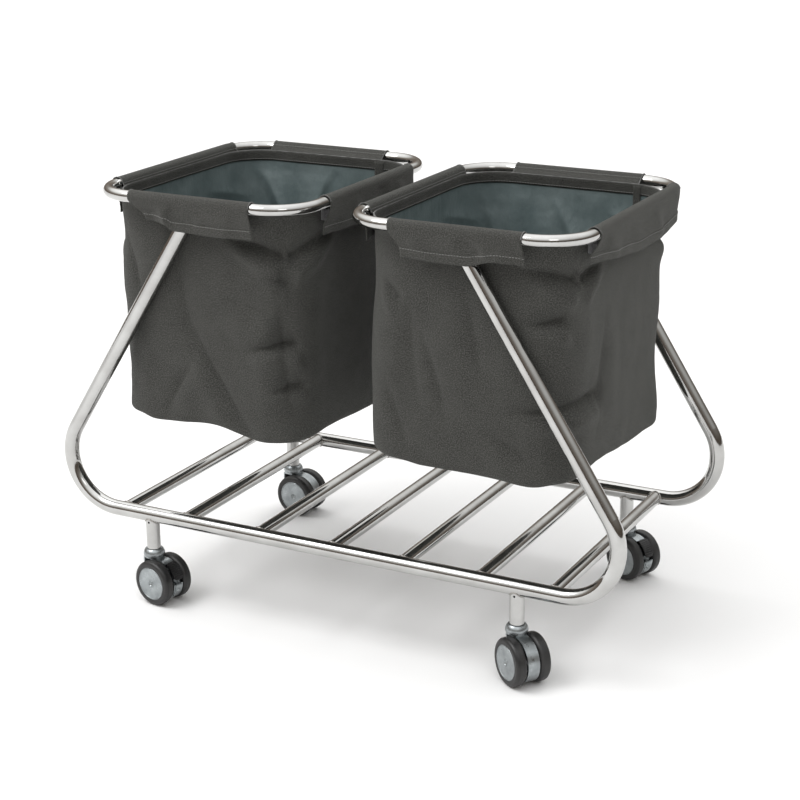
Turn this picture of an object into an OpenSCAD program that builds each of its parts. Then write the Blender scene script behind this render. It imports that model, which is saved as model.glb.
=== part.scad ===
// Double laundry cart: two fabric bags hung in a bent-tube frame on four
// twin-wheel casters. Millimetres, +Z up. The origin is on the floor under the
// middle of the frame. +X runs along the bottom rails, -Y is the front.

/* [Frame] */
// Distance between the centre lines of the front and back rails
rail_gap = 430; // [380:5:520]
// Outside diameter of the side frame tube
rail_tube = 24; // [20:0.5:28]
// Half the rail length, measured to the sharp corner with the leg
corner_half = 537; // [500:1:600]
// Lean of the legs, in degrees up from the rail
leg_angle = 57.5; // [54:0.5:62]
// Centre-line radius of the bend between rail and leg
bend_radius = 83; // [60:1:110]
// Outside diameter of the floor rungs
rung_tube = 21; // [16:0.5:23]
// Wall thickness of every tube
tube_wall = 1.5; // [1:0.1:2.5]

/* [Hoops] */
// Height of the hoop centre line above the rail centre line
hoop_rise = 514; // [450:1:600]
// Sideways distance from the middle of the cart to each hoop's centre
hoop_offset = 217.5; // [210:0.5:240]
// Hoop size along the cart, between tube centre lines
hoop_width = 357; // [320:1:380]
// Hoop size across the cart, between tube centre lines
hoop_depth = 442; // [400:1:480]
// Centre-line radius of the hoop corners
hoop_corner = 68; // [50:1:90]
// Outside diameter of the hoop tube
hoop_tube = 18; // [16:0.5:22]
// Distance of each hoop's screw from the cart's middle line, towards the front
hoop_screw_y = 160; // [157:1:165]

/* [Casters] */
// Wheel diameter
wheel_dia = 73.5; // [70:0.5:76]
// Width of each of the two tyres
tyre_width = 17.5; // [14:0.5:20]
// Width of the hood between the tyres
hood_width = 19; // [16:0.5:22]
// Distance from the swivel axis back to the axle
trail = 18; // [17:0.5:22]
// Half the distance between the two stems of a row, along the rail
stem_x = 317; // [280:0.5:340]
// How far the front row of stems stands off the middle, towards +X
front_stem_shift = -0.7; // [-4:0.1:4]
// How far the back row of stems stands off the middle, towards +X
back_stem_shift = 3.2; // [-4:0.1:4]
// Outside diameter of the caster stems
stem_tube = 22; // [20:0.5:24]
// Height of the rail centre line above the floor
rail_height = 142.5; // [140:0.5:160]
// Swivel of the front left caster as it stands, in degrees clockwise
turn_front_left = 11; // [-180:1:180]
// Swivel of the front right caster as it stands, in degrees clockwise
turn_front_right = 36; // [-180:1:180]
// Swivel of the back left caster as it stands, in degrees clockwise
turn_back_left = 4; // [-180:1:180]
// Swivel of the back right caster as it stands, in degrees clockwise
turn_back_right = 22; // [-180:1:180]

/* [Bags] */
// Outside size of a bag along the cart
bag_width = 338; // [300:1:338]
// Outside size of a bag across the cart
bag_depth = 403; // [360:1:403]
// Height of the bag bottom above the floor
bag_bottom = 287; // [240:1:400]
// Outside radius of the upright bag corners
bag_corner = 70; // [30:1:80]
// Thickness of canvas and lining together
bag_wall = 3; // [2:0.5:5]
// Length of the front and back sleeves
short_sleeve = 212; // [150:1:216]
// Length of the side sleeves
long_sleeve = 300; // [200:1:304]
// Drop of the hanging flap below the hoop centre line
flap_drop = 43; // [20:1:60]

/* [Colours] */
// Bright metal of the frame
chrome_colour = "#C9CCCE";
// Zinc plated caster parts
zinc_colour = "#AEB4B5";
// Tyres
tyre_colour = "#3A3A3A";
// Brake pedals
pedal_colour = "#1E1E20";
// Outside of the bags and their sleeves
canvas_colour = "#4A4A47";
// Hook-and-loop tapes
tape_colour = "#777A78";

/* [Hidden] */
$fn = 96;

rail_y = rail_gap / 2;
rail_r = rail_tube / 2;
rung_r = rung_tube / 2;
hoop_r = hoop_tube / 2;
hoop_z = rail_height + hoop_rise;
// Places of the rungs along the rails, left to right
rung_x = [-370, -257, -123, 6, 127, 254, 371];

// Side frame bend
turn_angle = 180 - leg_angle;
corner_cut = bend_radius / tan(leg_angle / 2);
leg_end_z = hoop_z - hoop_r + 2.5;
leg_run = (hoop_rise + 20) / sin(leg_angle) - corner_cut;

// Hoop straights
straight_x = hoop_width - 2 * hoop_corner;
straight_y = hoop_depth - 2 * hoop_corner;

// Caster heights and radii
wheel_r = wheel_dia / 2;
stem_r = stem_tube / 2;
stem_low = 86.5;
collar_low = 75;
collar_high = 86;
neck_low = 71;
vent_z = 132;
vent_r = 1.8;
neck_r = 16;
pin_r = 5;
pin_bore = 5.06;
axle_r = 4;
axle_bore = 4.06;
hub_r = 26.8;
hood_r = 33.8;
hood_wall = 2.2;
hood_end = -53;
cheek = 2;
cheek_z = hood_width / 2 - 3;
tyre_gap = 1.6;
tyre_in = hood_width / 2 + tyre_gap;
tyre_out = tyre_in + tyre_width;
shoulder = 6;
pivot_angle = 74;
pivot_reach = 26.5;
pivot_r = 2;
pedal_half = 9.8;
pedal_low = 12;
pedal_high = 61;

// Sleeves
sleeve_gap = 0.3;
sleeve_wall = 2.2;
sleeve_r = hoop_r + sleeve_gap + sleeve_wall;
rim_z = hoop_z - 2.5;

// ---------- Tubes ----------

module ring_2d(r) {
  difference() {
    circle(r = r);
    circle(r = r - tube_wall);
  }
}

// Straight tube along +X from the current place
module tube_x(length, r) {
  rotate([0, 90, 0]) linear_extrude(length) ring_2d(r);
}

// Tube bend in the XY plane about the origin, from +X turning towards +Y
module bend_xy(radius, angle, r) {
  rotate_extrude(angle = angle) translate([radius, 0]) ring_2d(r);
}

module solid_x(length, r) {
  rotate([0, 90, 0]) cylinder(r = r, h = length, center = true);
}

module solid_y(length, r) {
  rotate([90, 0, 0]) cylinder(r = r, h = length, center = true);
}

// ---------- Frame ----------

// One bend and one leg, drawn in the XY plane with Y as height
module bend_and_leg() {
  translate([corner_half - corner_cut, bend_radius])
    rotate(-90) bend_xy(bend_radius, turn_angle, rail_r);
  translate([corner_half - cos(leg_angle) * corner_cut, sin(leg_angle) * corner_cut])
    rotate(turn_angle) tube_x(leg_run, rail_r);
}

module side_frame_shape() {
  difference() {
    rotate([90, 0, 0]) {
      translate([-corner_half + corner_cut, 0]) tube_x(2 * (corner_half - corner_cut), rail_r);
      bend_and_leg();
      mirror([1, 0, 0]) bend_and_leg();
    }
    translate([-corner_half, -50, leg_end_z - rail_height]) cube([2 * corner_half, 100, 100]);
  }
}

module side_frame(side) {
  color(chrome_colour) difference() {
    translate([0, side * rail_y, rail_height]) side_frame_shape();
    translate([0, side * hoop_depth / 2, hoop_z]) solid_x(2 * corner_half, hoop_r);
  }
}

module front_side_frame() { side_frame(-1); }
module back_side_frame() { side_frame(1); }

module rung(index) {
  color(chrome_colour) difference() {
    translate([rung_x[index], -rail_y, rail_height]) rotate(90) tube_x(rail_gap, rung_r);
    for (side = [-1, 1])
      translate([rung_x[index], side * rail_y, rail_height]) solid_x(60, rail_r);
  }
}

module rung_1() { rung(0); }
module rung_2() { rung(1); }
module rung_3() { rung(2); }
module rung_4() { rung(3); }
module rung_5() { rung(4); }
module rung_6() { rung(5); }
module rung_7() { rung(6); }

// ---------- Hoops ----------

module hoop_quarter() {
  translate([straight_x / 2, straight_y / 2]) bend_xy(hoop_corner, 90, hoop_r);
}

module hoop_shape() {
  for (side = [-1, 1]) {
    translate([-straight_x / 2, side * hoop_depth / 2]) tube_x(straight_x, hoop_r);
    translate([side * hoop_width / 2, -straight_y / 2]) rotate(90) tube_x(straight_y, hoop_r);
  }
  hoop_quarter();
  mirror([1, 0, 0]) hoop_quarter();
  mirror([0, 1, 0]) hoop_quarter();
  mirror([1, 0, 0]) mirror([0, 1, 0]) hoop_quarter();
}

// The screw sits where the front left corner of the hoop begins
screw_turn = asin((hoop_screw_y - straight_y / 2) / hoop_corner);
screw_lift = 30;
screw_shank = 2;

// Places children on the centre line of a hoop, with +X along the screw
module at_hoop_screw() {
  translate([-straight_x / 2, -straight_y / 2, 0]) rotate(screw_turn)
    translate([-hoop_corner, 0, 0]) rotate([0, -screw_lift, 0]) children();
}

module hoop(side) {
  color(chrome_colour) translate([side * hoop_offset, 0, hoop_z]) difference() {
    hoop_shape();
    at_hoop_screw() translate([hoop_r, 0, 0]) solid_x(6, screw_shank + 0.1);
  }
}

module left_hoop() { hoop(-1); }
module right_hoop() { hoop(1); }

// Solid stand-in for the hoop corner that the screw head sits on
module screw_seat() {
  translate([-straight_x / 2, -straight_y / 2, 0]) rotate(180)
    rotate_extrude(angle = 90) translate([hoop_corner, 0]) circle(r = hoop_r);
}

module hoop_screw() {
  at_hoop_screw() translate([hoop_r, 0, 0]) solid_x(5, screw_shank);
  difference() {
    at_hoop_screw() translate([hoop_r + 1, 0, 0]) sphere(r = 4.2);
    screw_seat();
  }
}

module hoop_screws() {
  color(chrome_colour)
    for (side = [-1, 1]) translate([side * hoop_offset, 0, hoop_z]) hoop_screw();
}

// ---------- Caster stems and pins ----------

function stem_at(sx, sy) = [sx * stem_x + (sy < 0 ? front_stem_shift : back_stem_shift), sy * rail_y, 0];

module at_stems() {
  for (sx = [-1, 1]) for (sy = [-1, 1]) translate(stem_at(sx, sy)) children();
}

// Each stem has a small vent hole for plating, in front of or behind the rail
module caster_stems() {
  color(chrome_colour) for (sx = [-1, 1]) for (sy = [-1, 1]) translate(stem_at(sx, sy)) difference() {
    translate([0, 0, stem_low]) linear_extrude(rail_height - stem_low) ring_2d(stem_r);
    translate([0, 0, rail_height]) solid_x(60, rail_r);
    translate([0, sy * stem_r, vent_z]) solid_y(8, vent_r);
  }
}

module swivel_pins() {
  color(zinc_colour) at_stems() {
    translate([0, 0, neck_low - hood_wall - 2.8]) cylinder(r = 7, h = 2.5);
    translate([0, 0, neck_low - hood_wall - 1]) cylinder(r = pin_r, h = 30);
    translate([0, 0, stem_low]) cylinder(r = stem_r - tube_wall, h = 20);
  }
}

// ---------- Casters, drawn about their own swivel axis ----------

module at_caster(sx, sy, turn) {
  translate(stem_at(sx, sy)) rotate(-turn) children();
}

module collar_shape() {
  difference() {
    rotate_extrude() {
      difference() {
        union() {
          translate([0, collar_low]) square([15.5, 2]);
          translate([0, collar_low + 1]) square([17, 1.5]);
          intersection() {
            translate([6, collar_low + 2.5]) circle(r = 11);
            translate([0, collar_low + 2.5]) square([20, collar_high - collar_low - 2.5]);
          }
        }
        translate([-20, 0]) square([20, 120]);
      }
    }
    cylinder(r = pin_bore, h = 200);
  }
}

module collar(sx, sy, turn) { color(zinc_colour) at_caster(sx, sy, turn) collar_shape(); }

// Everything on the wheel side is drawn in the XZ plane with the axle at the origin
module about_axle() {
  translate([trail, 0, wheel_r]) rotate([90, 0, 0]) children();
}

module slab(width) { translate([0, 0, -width / 2]) linear_extrude(width) children(); }

function ray(angle, reach) = [reach * cos(angle), reach * sin(angle)];

// Pie slice that runs from one angle to another
module slice_2d(from, to, reach) {
  steps = 8;
  polygon(concat([[0, 0]], [for (i = [0:steps]) ray(from + (to - from) * i / steps, reach)]));
}

module hood_outer_2d() {
  circle(r = hood_r);
  translate([-trail - 15, 14]) square([30, neck_low - wheel_r - 14]);
}

module hood_inner_2d() {
  circle(r = hood_r - hood_wall);
  translate([-trail - 12.8, 16]) square([25.6, neck_low - wheel_r - hood_wall - 16]);
}

module hood_strip_2d(low) {
  intersection() {
    difference() {
      hood_outer_2d();
      hood_inner_2d();
    }
    slice_2d(low, 165, 60);
  }
}

// The cheeks stop short of the swivel pin and stand in from the strip's edges
module hood_cheek_2d(low) {
  difference() {
    union() {
      circle(r = 9);
      intersection() {
        circle(r = hood_r - 0.1);
        slice_2d(low, 98, 60);
      }
    }
    circle(r = axle_r + 0.02);
  }
}

module hood_shape(braked) {
  difference() {
    union() {
      about_axle() {
        slab(hood_width) hood_strip_2d(braked ? 64 : hood_end);
        if (braked) slab(hood_width) intersection() {
          hood_strip_2d(hood_end);
          slice_2d(hood_end, -1, 60);
        }
        for (side = [-1, 1])
          translate([0, 0, side * cheek_z]) slab(cheek) hood_cheek_2d(braked ? 66 : 30);
        if (braked) for (side = [-1, 1])
          translate([0, 0, side * cheek_z]) slab(cheek) brake_arm_2d();
      }
      translate([0, 0, neck_low - 2.2]) cylinder(r = neck_r, h = collar_low - neck_low + 2.2);
    }
    cylinder(r = pin_bore, h = 200);
    if (braked) about_axle() translate(ray(pivot_angle, pivot_reach))
      cylinder(r = pivot_r, h = 60, center = true);
    neck_relief();
  }
}

// Keeps the underside of the neck off the tyres
module neck_relief() {
  for (side = [-1, 1])
    translate([-40, side > 0 ? hood_width / 2 : -hood_width / 2 - 30, 0])
      cube([80, 30, neck_low + 1]);
}

// Cheek ribs that carry the lower strip of a braked hood
module brake_arm_2d() {
  difference() {
    intersection() {
      circle(r = hood_r - 0.1);
      slice_2d(hood_end + 2, -16, 60);
    }
    circle(r = axle_r + 0.02);
  }
}

module hood(sx, sy, turn, braked) {
  color(zinc_colour) at_caster(sx, sy, turn) hood_shape(braked);
}

module axle_shape() {
  about_axle() cylinder(r = axle_r, h = 2 * tyre_out - 7, center = true);
}

module axle(sx, sy, turn) { color(zinc_colour) at_caster(sx, sy, turn) axle_shape(); }

// Wheel parts are drawn with their outer face towards +Z, then set front or back
module wheel_side(side) {
  about_axle() rotate([side > 0 ? 180 : 0, 0, 0]) children();
}

module tyre_shape() {
  rotate_extrude() difference() {
    union() {
      translate([hub_r, tyre_in]) square([wheel_r - hub_r - shoulder, tyre_width]);
      translate([hub_r, tyre_in + shoulder]) square([wheel_r - hub_r, tyre_width - 2 * shoulder]);
      for (edge = [tyre_in + shoulder, tyre_out - shoulder])
        translate([wheel_r - shoulder, edge]) circle(r = shoulder);
    }
    translate([hub_r - wheel_r, 0]) square([wheel_r, 2 * tyre_out]);
    translate([wheel_r - 1.3, tyre_out - shoulder + 2]) circle(r = 0.9);
  }
}

module hub_shape() {
  difference() {
    rotate_extrude() {
      translate([0, tyre_in + 0.4]) square([9, tyre_width - 2]);
      translate([0, tyre_out - 3.2]) square([hub_r - 1, 3]);
      translate([hub_r - 2.5, tyre_in + 0.4]) square([2.5, tyre_width - 1]);
      translate([hub_r - 1.5, tyre_out - 0.6]) circle(r = 0.9);
      translate([5.4, tyre_out - 0.4]) circle(r = 0.7);
    }
    translate([0, 0, -1]) cylinder(r = axle_bore, h = tyre_out - 2);
    translate([0, 0, tyre_out + 2.6]) sphere(r = 5);
  }
}

module tyre(sx, sy, turn, side) {
  color(tyre_colour) at_caster(sx, sy, turn) wheel_side(side) tyre_shape();
}

module hub(sx, sy, turn, side) {
  color(zinc_colour) at_caster(sx, sy, turn) wheel_side(side) hub_shape();
}

// ---------- Brake ----------

pedal_in = hood_r + 0.5;
pedal_out = hood_r + 4;
lug_half = cheek_z - cheek / 2 - 0.5;

module pedal_plate_2d() {
  intersection() {
    difference() {
      circle(r = pedal_out);
      circle(r = pedal_in);
    }
    slice_2d(pedal_low, pedal_high, 60);
  }
}

// Takes the two corners off one end of the pedal
module pedal_corners(angle, size) {
  for (side = [-1, 1])
    rotate(angle) translate([pedal_out, 0, side * pedal_half])
      rotate([45, 0, 0]) cube([12, size, size], center = true);
}

// Lug that reaches in through the hood window to the pivot
module pedal_lug_2d() {
  difference() {
    union() {
      translate(ray(pivot_angle, pivot_reach)) circle(r = 4.4);
      polygon([
        ray(pivot_angle + 6, pivot_reach - 2), ray(pivot_angle - 8, pivot_reach + 4.2),
        ray(62, hood_r - 2.9), ray(60, hood_r + 1.1), ray(44, hood_r + 1.1), ray(46, hood_r - 3.5)
      ]);
    }
    translate(ray(pivot_angle, pivot_reach)) circle(r = pivot_r + 0.06);
  }
}

module pedal_shape() {
  about_axle() {
    difference() {
      slab(2 * pedal_half) pedal_plate_2d();
      pedal_corners(pedal_low, 6.8);
      pedal_corners(pedal_high, 4.5);
      for (a = [pedal_low + 5:5.5:pedal_high - 2])
        translate(ray(a, pedal_out + 0.4)) cylinder(r = 1, h = 60, center = true);
    }
    slab(2 * lug_half) pedal_lug_2d();
  }
}

module pedal(sx, sy, turn) { color(pedal_colour) at_caster(sx, sy, turn) pedal_shape(); }

// Riveted plate under the pedal, with the pedal's pivot pin
module brake_stop_shape() {
  about_axle() {
    slab(13) intersection() {
      difference() {
        circle(r = hood_r + 0.9);
        circle(r = hood_r);
      }
      slice_2d(-39, -3, 60);
    }
    intersection() {
      translate(ray(-20, hood_r)) sphere(r = 3.2);
      difference() {
        cylinder(r = hood_r + 5, h = 20, center = true);
        cylinder(r = hood_r + 0.5, h = 30, center = true);
      }
    }
    translate(ray(pivot_angle, pivot_reach))
      cylinder(r = pivot_r, h = 2 * cheek_z + cheek + 1, center = true);
  }
}

module brake_stop(sx, sy, turn) {
  color(zinc_colour) at_caster(sx, sy, turn) brake_stop_shape();
}

// ---------- The four casters ----------

module front_left_collar() { collar(-1, -1, turn_front_left); }
module front_left_hood() { hood(-1, -1, turn_front_left, true); }
module front_left_axle() { axle(-1, -1, turn_front_left); }
module front_left_outer_tyre() { tyre(-1, -1, turn_front_left, -1); }
module front_left_inner_tyre() { tyre(-1, -1, turn_front_left, 1); }
module front_left_outer_hub() { hub(-1, -1, turn_front_left, -1); }
module front_left_inner_hub() { hub(-1, -1, turn_front_left, 1); }
module front_left_brake_pedal() { pedal(-1, -1, turn_front_left); }
module front_left_brake_stop() { brake_stop(-1, -1, turn_front_left); }

module front_right_collar() { collar(1, -1, turn_front_right); }
module front_right_hood() { hood(1, -1, turn_front_right, false); }
module front_right_axle() { axle(1, -1, turn_front_right); }
module front_right_outer_tyre() { tyre(1, -1, turn_front_right, -1); }
module front_right_inner_tyre() { tyre(1, -1, turn_front_right, 1); }
module front_right_outer_hub() { hub(1, -1, turn_front_right, -1); }
module front_right_inner_hub() { hub(1, -1, turn_front_right, 1); }

module back_left_collar() { collar(-1, 1, turn_back_left); }
module back_left_hood() { hood(-1, 1, turn_back_left, false); }
module back_left_axle() { axle(-1, 1, turn_back_left); }
module back_left_outer_tyre() { tyre(-1, 1, turn_back_left, 1); }
module back_left_inner_tyre() { tyre(-1, 1, turn_back_left, -1); }
module back_left_outer_hub() { hub(-1, 1, turn_back_left, 1); }
module back_left_inner_hub() { hub(-1, 1, turn_back_left, -1); }

module back_right_collar() { collar(1, 1, turn_back_right); }
module back_right_hood() { hood(1, 1, turn_back_right, true); }
module back_right_axle() { axle(1, 1, turn_back_right); }
module back_right_outer_tyre() { tyre(1, 1, turn_back_right, 1); }
module back_right_inner_tyre() { tyre(1, 1, turn_back_right, -1); }
module back_right_outer_hub() { hub(1, 1, turn_back_right, 1); }
module back_right_inner_hub() { hub(1, 1, turn_back_right, -1); }
module back_right_brake_pedal() { pedal(1, 1, turn_back_right); }
module back_right_brake_stop() { brake_stop(1, 1, turn_back_right); }

// ---------- Bags ----------

module rounded_2d(width, depth, r) {
  square([width - 2 * r, depth], center = true);
  square([width, depth - 2 * r], center = true);
  for (sx = [-1, 1]) for (sy = [-1, 1])
    translate([sx * (width / 2 - r), sy * (depth / 2 - r)]) circle(r = r);
}

module bag_shell(side) {
  color(canvas_colour) translate([side * hoop_offset, 0, 0]) difference() {
    translate([0, 0, bag_bottom]) linear_extrude(rim_z - bag_bottom)
      rounded_2d(bag_width, bag_depth, bag_corner);
    translate([0, 0, bag_bottom + bag_wall]) linear_extrude(rim_z)
      rounded_2d(bag_width - 2 * bag_wall, bag_depth - 2 * bag_wall, bag_corner - bag_wall);
  }
}

module left_bag_shell() { bag_shell(-1); }
module right_bag_shell() { bag_shell(1); }

// Sleeve cross-section with the hoop tube at the origin and the flap towards -X
module sleeve_2d(reach) {
  difference() {
    union() {
      intersection() {
        circle(r = sleeve_r);
        translate([-sleeve_r, 0]) square(2 * sleeve_r);
      }
      translate([-sleeve_r, -flap_drop]) square([sleeve_wall, flap_drop]);
      translate([0, rim_z - hoop_z]) square([reach, hoop_z - rim_z]);
    }
    circle(r = hoop_r + sleeve_gap);
  }
}

// angle 0 is the left side of the hoop, 90 the front, 180 the right, 270 the back
module sleeve(side, angle, length, half, bag_half) {
  color(canvas_colour) translate([side * hoop_offset, 0, hoop_z]) rotate(angle)
    translate([-half, 0, 0]) rotate([90, 0, 0])
      slab(length) sleeve_2d(half - bag_half + bag_wall);
}

module end_sleeve(side, angle) {
  sleeve(side, angle, short_sleeve, hoop_depth / 2, bag_depth / 2);
}
module side_sleeve(side, angle) {
  sleeve(side, angle, long_sleeve, hoop_width / 2, bag_width / 2);
}

module left_bag_front_sleeve() { end_sleeve(-1, 90); }
module left_bag_back_sleeve() { end_sleeve(-1, 270); }
module left_bag_left_sleeve() { side_sleeve(-1, 0); }
module left_bag_right_sleeve() { side_sleeve(-1, 180); }
module right_bag_front_sleeve() { end_sleeve(1, 90); }
module right_bag_back_sleeve() { end_sleeve(1, 270); }
module right_bag_left_sleeve() { side_sleeve(1, 0); }
module right_bag_right_sleeve() { side_sleeve(1, 180); }

// Tapes that hold a flap's two ends to the bag wall
module flap_tapes(angle, length, half, bag_half) {
  flap_in = half + hoop_r + sleeve_gap;
  for (end = [-1, 1])
    rotate(angle) translate([-flap_in, end * (length / 2 - 5) - 1.5, -flap_drop + 8])
      cube([flap_in - bag_half, 3, 22]);
}

module bag_tapes(side) {
  color(tape_colour) translate([side * hoop_offset, 0, hoop_z]) {
    for (angle = [90, 270]) flap_tapes(angle, short_sleeve, hoop_depth / 2, bag_depth / 2);
    for (angle = [0, 180]) flap_tapes(angle, long_sleeve, hoop_width / 2, bag_width / 2);
  }
}

module left_bag_tapes() { bag_tapes(-1); }
module right_bag_tapes() { bag_tapes(1); }

front_side_frame();
back_side_frame();
rung_1();
rung_2();
rung_3();
rung_4();
rung_5();
rung_6();
rung_7();
left_hoop();
right_hoop();
hoop_screws();
caster_stems();
swivel_pins();
front_left_collar();
front_left_hood();
front_left_axle();
front_left_outer_tyre();
front_left_inner_tyre();
front_left_outer_hub();
front_left_inner_hub();
front_left_brake_pedal();
front_left_brake_stop();
front_right_collar();
front_right_hood();
front_right_axle();
front_right_outer_tyre();
front_right_inner_tyre();
front_right_outer_hub();
front_right_inner_hub();
back_left_collar();
back_left_hood();
back_left_axle();
back_left_outer_tyre();
back_left_inner_tyre();
back_left_outer_hub();
back_left_inner_hub();
back_right_collar();
back_right_hood();
back_right_axle();
back_right_outer_tyre();
back_right_inner_tyre();
back_right_outer_hub();
back_right_inner_hub();
back_right_brake_pedal();
back_right_brake_stop();
left_bag_shell();
left_bag_front_sleeve();
left_bag_back_sleeve();
left_bag_left_sleeve();
left_bag_right_sleeve();
left_bag_tapes();
right_bag_shell();
right_bag_front_sleeve();
right_bag_back_sleeve();
right_bag_left_sleeve();
right_bag_right_sleeve();
right_bag_tapes();
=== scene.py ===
"""Looks of the double laundry cart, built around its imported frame. Metres, +Z up, the frame's own axes.

Each bag is a canvas body with a coated lining, hung on its hoop by four sleeves that end in flaps.
"""

import math

import bpy
import numpy as np
from mathutils import Matrix, Vector, noise


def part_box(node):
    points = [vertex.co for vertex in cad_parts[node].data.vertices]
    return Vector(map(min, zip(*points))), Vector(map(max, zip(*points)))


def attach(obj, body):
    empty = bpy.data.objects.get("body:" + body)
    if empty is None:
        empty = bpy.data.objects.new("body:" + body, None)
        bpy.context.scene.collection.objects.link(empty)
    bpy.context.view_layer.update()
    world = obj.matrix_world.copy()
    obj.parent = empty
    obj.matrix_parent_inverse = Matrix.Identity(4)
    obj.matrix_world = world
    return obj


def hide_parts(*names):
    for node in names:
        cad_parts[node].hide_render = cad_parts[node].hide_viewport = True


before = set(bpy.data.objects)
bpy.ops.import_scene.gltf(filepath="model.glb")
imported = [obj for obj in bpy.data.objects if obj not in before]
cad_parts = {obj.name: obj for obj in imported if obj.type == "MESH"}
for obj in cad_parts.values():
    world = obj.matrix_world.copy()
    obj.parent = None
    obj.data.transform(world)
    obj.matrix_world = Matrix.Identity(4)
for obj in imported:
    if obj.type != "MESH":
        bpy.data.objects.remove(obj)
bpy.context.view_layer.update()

MM = 0.001
RUNGS = 7
HOOP_CORNER = 68 * MM  # centre-line radius of the hoop corners
BAG_CORNER = 70 * MM  # outside radius of the upright bag corners
ROLL = 11 * MM  # radius where the wall turns into the bottom

# Cloth, by its thickness
CANVAS = 1.0 * MM
LINING = 0.8 * MM
SLEEVE_CLOTH = 1.1 * MM
SEAM_TAPE = 0.9 * MM
HOOK_TAPE = 1.6 * MM

# How the cloth is sewn and lies
HEM_DEPTH = 16 * MM  # turned-in canvas band at the top of the bag
HEM_FOLD = 1.7 * MM  # radius of the fold at its top
HEM_LAP = 3 * MM  # how far the lining reaches up behind the band
FLAP_HEM = 15 * MM  # from a flap's edge up to its row of stitches
LINING_GAP = 2.2 * MM  # from the canvas's outer face to the lining's inner face
BOTTOM_GAP = 2.4 * MM  # the same at the bottom
TUBE_GAP = 0.4 * MM  # air between a hoop and its sleeve
RIM_LAP = 2.6 * MM  # how far a sleeve reaches in over the bag's rim
FLAP_ROOM = 2.4 * MM  # how far a flap may dent before it meets the leg behind it
STITCH, STITCH_GAP = 3.2 * MM, 1.3 * MM
THREAD_RADIUS = 0.5 * MM
TAPE_INSET = 26  # millimetres from a flap's end to its hook tape
TAPE_TOP, TAPE_FOOT = -12 * MM, -28 * MM  # hook tape, from the hoop's middle
FOLD_GAIN = 2.3  # how deep the folds of the canvas are pressed
RIPPLES = ((1.9, 0.075), (0.75, 0.03), (0.22, 0.011))  # height in millimetres, size in metres

# Meshes
CLOTH_STEP = 3.6 * MM  # spacing of the cloth mesh
ROLL_ROWS = 6  # rows that turn under at the bottom edge
BOTTOM_ROWS = 25  # rows of the bottom
LAST_SHARE = 0.04  # size of the innermost one, as a share of the bottom
FLAP_STEP = 3 * MM  # spacing of the sleeves' columns
LEAD_ROWS = 4  # rows of a sleeve between the bag's rim and the hoop
TUBE_ROWS = 22  # rows of it that lie on the hoop
FLAP_ROWS = 23  # rows of it that hang down


# ---------- Materials ----------


class Finish:
    """A Principled material, with short calls that add nodes to it."""

    def __init__(self, name, **sockets):
        self.material = bpy.data.materials.new(name)
        self.material.use_nodes = True
        self.tree = self.material.node_tree
        self.shader = self.tree.nodes["Principled BSDF"]
        for socket, value in sockets.items():
            self.shader.inputs[socket.replace("_", " ")].default_value = value

    def node(self, kind, inputs=(), **settings):
        made = self.tree.nodes.new("ShaderNode" + kind)
        for key, value in settings.items():
            setattr(made, key, value)
        for key, value in dict(inputs).items():
            if isinstance(value, bpy.types.NodeSocket):
                self.tree.links.new(value, made.inputs[key])
            else:
                made.inputs[key].default_value = value
        return made

    def place(self):
        """The point of the piece in its own coordinates, in metres."""
        return self.node("TexCoord").outputs["Object"]

    def cloth(self):
        """The place on the cloth, across and down it, in metres."""
        return self.node("Attribute", attribute_name="cloth").outputs["Vector"]

    def stretched(self, where, scale):
        return self.node("Mapping", {"Vector": where, "Scale": scale}).outputs["Vector"]

    def noise(self, where, scale, detail=3.0, rough=0.55):
        values = {"Vector": where, "Scale": scale, "Detail": detail, "Roughness": rough}
        return self.node("TexNoise", values).outputs["Fac"]

    def math(self, operation, a, b=0.0):
        return self.node("Math", {0: a, 1: b}, operation=operation).outputs["Value"]

    def span(self, value, low, high, start=0.0, end=1.0):
        """value from low to high becomes start to end."""
        values = {"Value": value, "From Min": low, "From Max": high, "To Min": start, "To Max": end}
        return self.node("MapRange", values).outputs["Result"]

    def mix(self, share, first, second, blend="MIX"):
        made = self.node("Mix", data_type="RGBA", blend_type=blend)
        colours = [s for s in made.inputs if s.type == "RGBA"]
        for socket, value in zip([made.inputs[0], *colours], (share, first, second)):
            if isinstance(value, bpy.types.NodeSocket):
                self.tree.links.new(value, socket)
            else:
                socket.default_value = value
        return next(s for s in made.outputs if s.type == "RGBA")

    def bump(self, height, distance, strength=1.0, over=None):
        values = {"Height": height, "Distance": distance, "Strength": strength}
        if over is not None:
            values["Normal"] = over
        return self.node("Bump", values).outputs["Normal"]

    def wire(self, **sockets):
        for socket, value in sockets.items():
            self.tree.links.new(value, self.shader.inputs[socket.replace("_", " ")])
        return self.material


def rgb(red, green, blue):
    return (red, green, blue, 1.0)


def chrome_finish():
    """Bright chrome with faint draw lines, smears and a little dust."""
    f = Finish("chrome", Metallic=1.0)
    place = f.place()
    smear = f.noise(place, 22.0, 5.0)
    fine = f.noise(place, 420.0, 2.0)
    colour = f.mix(f.span(smear, 0.35, 0.7), rgb(0.52, 0.52, 0.51), rgb(0.43, 0.425, 0.415))
    rough = f.span(f.math("MULTIPLY", smear, fine), 0.1, 0.5, 0.05, 0.16)
    return f.wire(Base_Color=colour, Roughness=rough, Normal=f.bump(fine, 0.00002, 0.5))


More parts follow.
